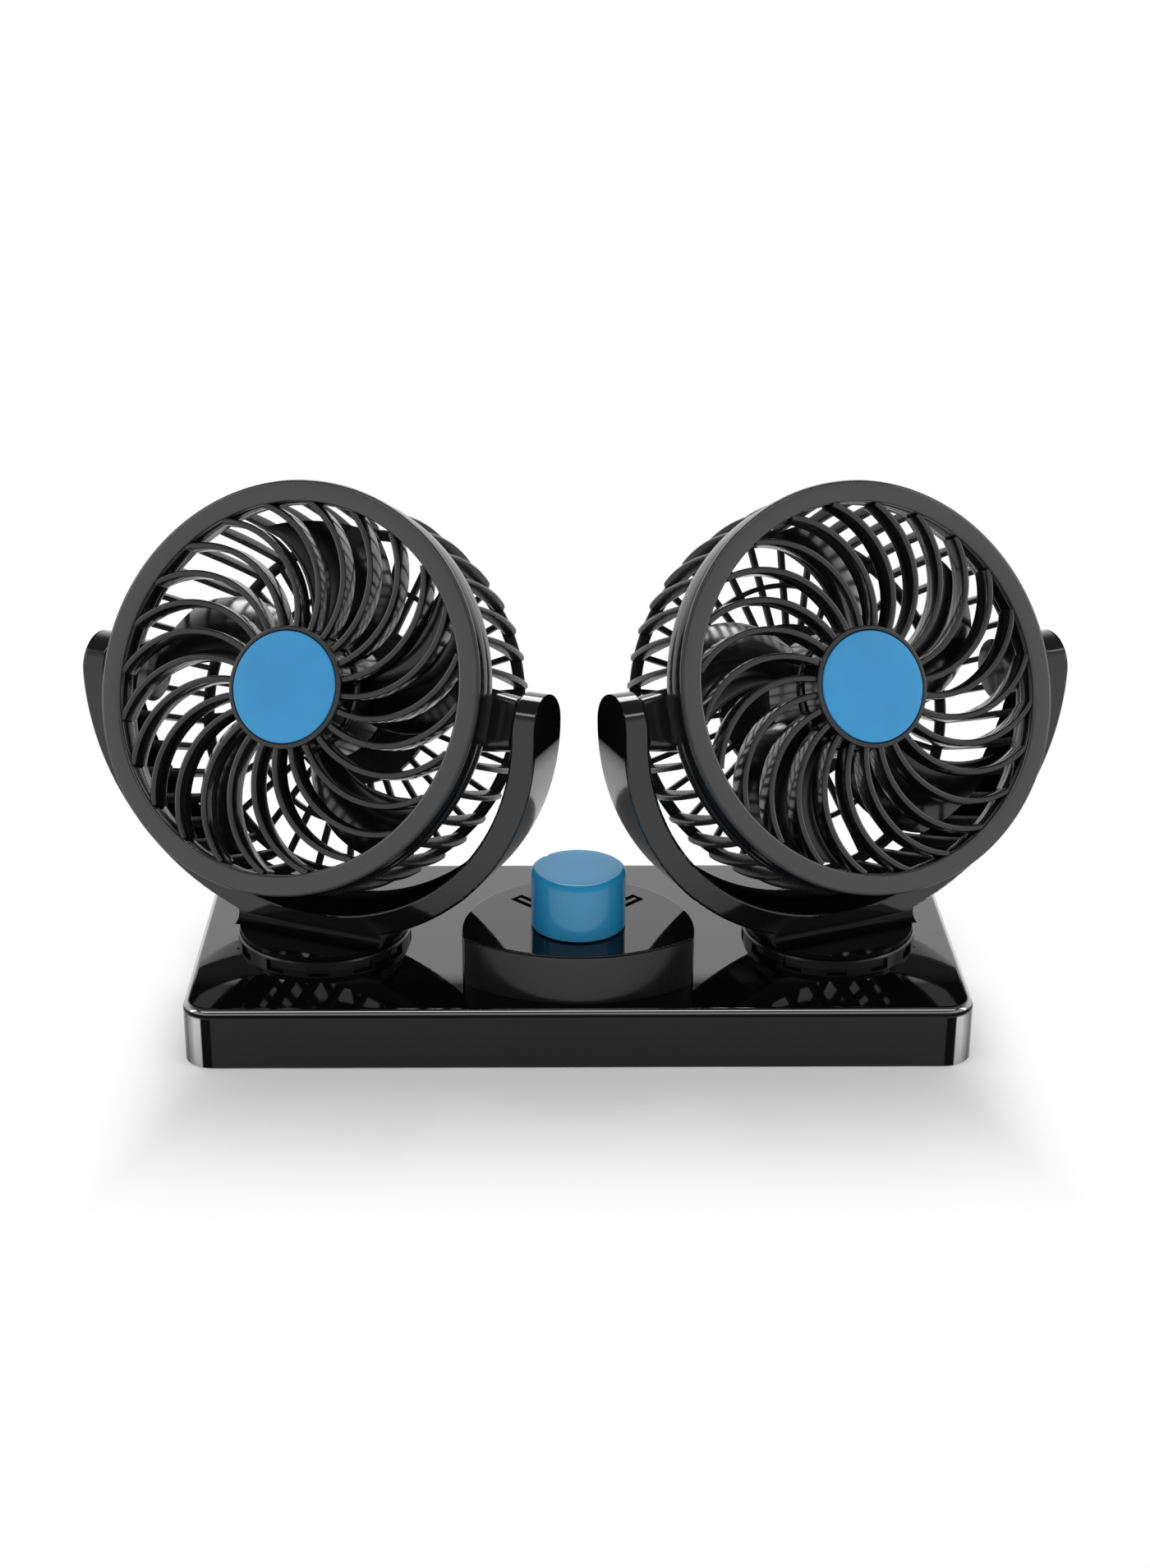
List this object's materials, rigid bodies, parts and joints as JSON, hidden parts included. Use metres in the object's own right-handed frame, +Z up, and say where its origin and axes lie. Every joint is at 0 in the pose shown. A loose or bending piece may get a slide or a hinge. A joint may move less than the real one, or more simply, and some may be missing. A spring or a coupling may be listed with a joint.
{
  "type": "dual head car fan",
  "caption": "Car fan with a flat base, a speed knob and caged axial fan heads that tilt in swivelling yokes.",
  "frame": {"origin": "middle of the base's underside, at the level of the rubber feet", "axes": "+Z up, -Y towards the user, +X along the base to the user's right"},
  "size_m": [0.2724, 0.0989, 0.1458],
  "materials": {
    "base_gloss": "glossy moulded plastic",
    "base_matte": "fine matt moulded plastic",
    "foot_rubber": "smooth rubber",
    "screw_steel": "zinc plated steel",
    "board_green": "coated circuit board",
    "switch_black": "moulded plastic",
    "knob_blue": "satin moulded plastic",
    "yoke_black": "satin moulded plastic",
    "ring_grey": "matt moulded plastic",
    "grille_black": "satin moulded plastic",
    "cap_blue": "satin disc",
    "motor_steel": "plated steel can",
    "impeller_black": "moulded plastic"
  },
  "bodies": {
    "base": {"base_housing": "base_gloss", "base_cover": "base_matte", "base_feet": "foot_rubber", "base_screws": "screw_steel", "circuit_board": "board_green", "board_screws": "screw_steel", "cable_grommet": "foot_rubber", "pod_body": "base_gloss", "pod_fascia": "base_matte", "pod_screws": "screw_steel", "rotary_switch": "switch_black", "switch_nut": "screw_steel", "collar_left": "base_matte", "collar_right": "base_matte"},
    "control_knob": {"knob": "knob_blue", "switch_shaft": "screw_steel"},
    "yoke_left_body": {"yoke_left": "yoke_black", "yoke_strips_left": "yoke_black", "swivel_washer_left": "foot_rubber", "retainer_left": "screw_steel", "retainer_screws_left": "screw_steel"},
    "head_left": {"front_ring_left": "ring_grey", "front_grille_left": "grille_black", "hub_cap_left": "cap_blue", "rear_cage_left": "grille_black", "cage_ribs_left": "grille_black", "rear_grille_left": "grille_black", "motor_sleeve_left": "grille_black", "tilt_pins_left": "screw_steel", "tilt_washers_left": "foot_rubber", "motor_can_left": "motor_steel", "motor_cap_left": "switch_black"},
    "rotor_left": {"impeller_left": "impeller_black", "motor_shaft_left": "screw_steel"},
    "yoke_right_body": {"yoke_right": "yoke_black", "yoke_strips_right": "yoke_black", "swivel_washer_right": "foot_rubber", "retainer_right": "screw_steel", "retainer_screws_right": "screw_steel"},
    "head_right": {"front_ring_right": "ring_grey", "front_grille_right": "grille_black", "hub_cap_right": "cap_blue", "rear_cage_right": "grille_black", "cage_ribs_right": "grille_black", "rear_grille_right": "grille_black", "motor_sleeve_right": "grille_black", "tilt_pins_right": "screw_steel", "tilt_washers_right": "foot_rubber", "motor_can_right": "motor_steel", "motor_cap_right": "switch_black"},
    "rotor_right": {"impeller_right": "impeller_black", "motor_shaft_right": "screw_steel"}
  },
  "joints": [
    {"name": "knob_turn", "type": "hinge", "parent": "base", "child": "control_knob", "pos_m": [0, -0.0234, 0.0313], "axis": [0, 0, 1], "range_deg": [-90, 0]},
    {"name": "yoke_left_turn", "type": "hinge", "parent": "base", "child": "yoke_left_body", "pos_m": [-0.0705, 0, 0.0194], "axis": [0, 0, 1], "range_deg": [-147, 193]},
    {"name": "head_left_tilt", "type": "hinge", "parent": "yoke_left_body", "child": "head_left", "pos_m": [-0.0705, 0, 0.0882], "axis": [-0.9205, 0.3907, 0], "range_deg": [-69.5, 55.5]},
    {"name": "rotor_left_spin", "type": "hinge", "parent": "head_left", "child": "rotor_left", "pos_m": [-0.0705, 0, 0.0882], "axis": [-0.3556, -0.8376, 0.4147], "continuous": true},
    {"name": "yoke_right_turn", "type": "hinge", "parent": "base", "child": "yoke_right_body", "pos_m": [0.0705, 0, 0.0194], "axis": [0, 0, 1], "range_deg": [-193, 147]},
    {"name": "head_right_tilt", "type": "hinge", "parent": "yoke_right_body", "child": "head_right", "pos_m": [0.0705, 0, 0.0882], "axis": [-0.9205, -0.3907, 0], "range_deg": [-69.5, 55.5]},
    {"name": "rotor_right_spin", "type": "hinge", "parent": "head_right", "child": "rotor_right", "pos_m": [0.0705, 0, 0.0882], "axis": [0.3556, -0.8376, 0.4147], "continuous": true}
  ]
}
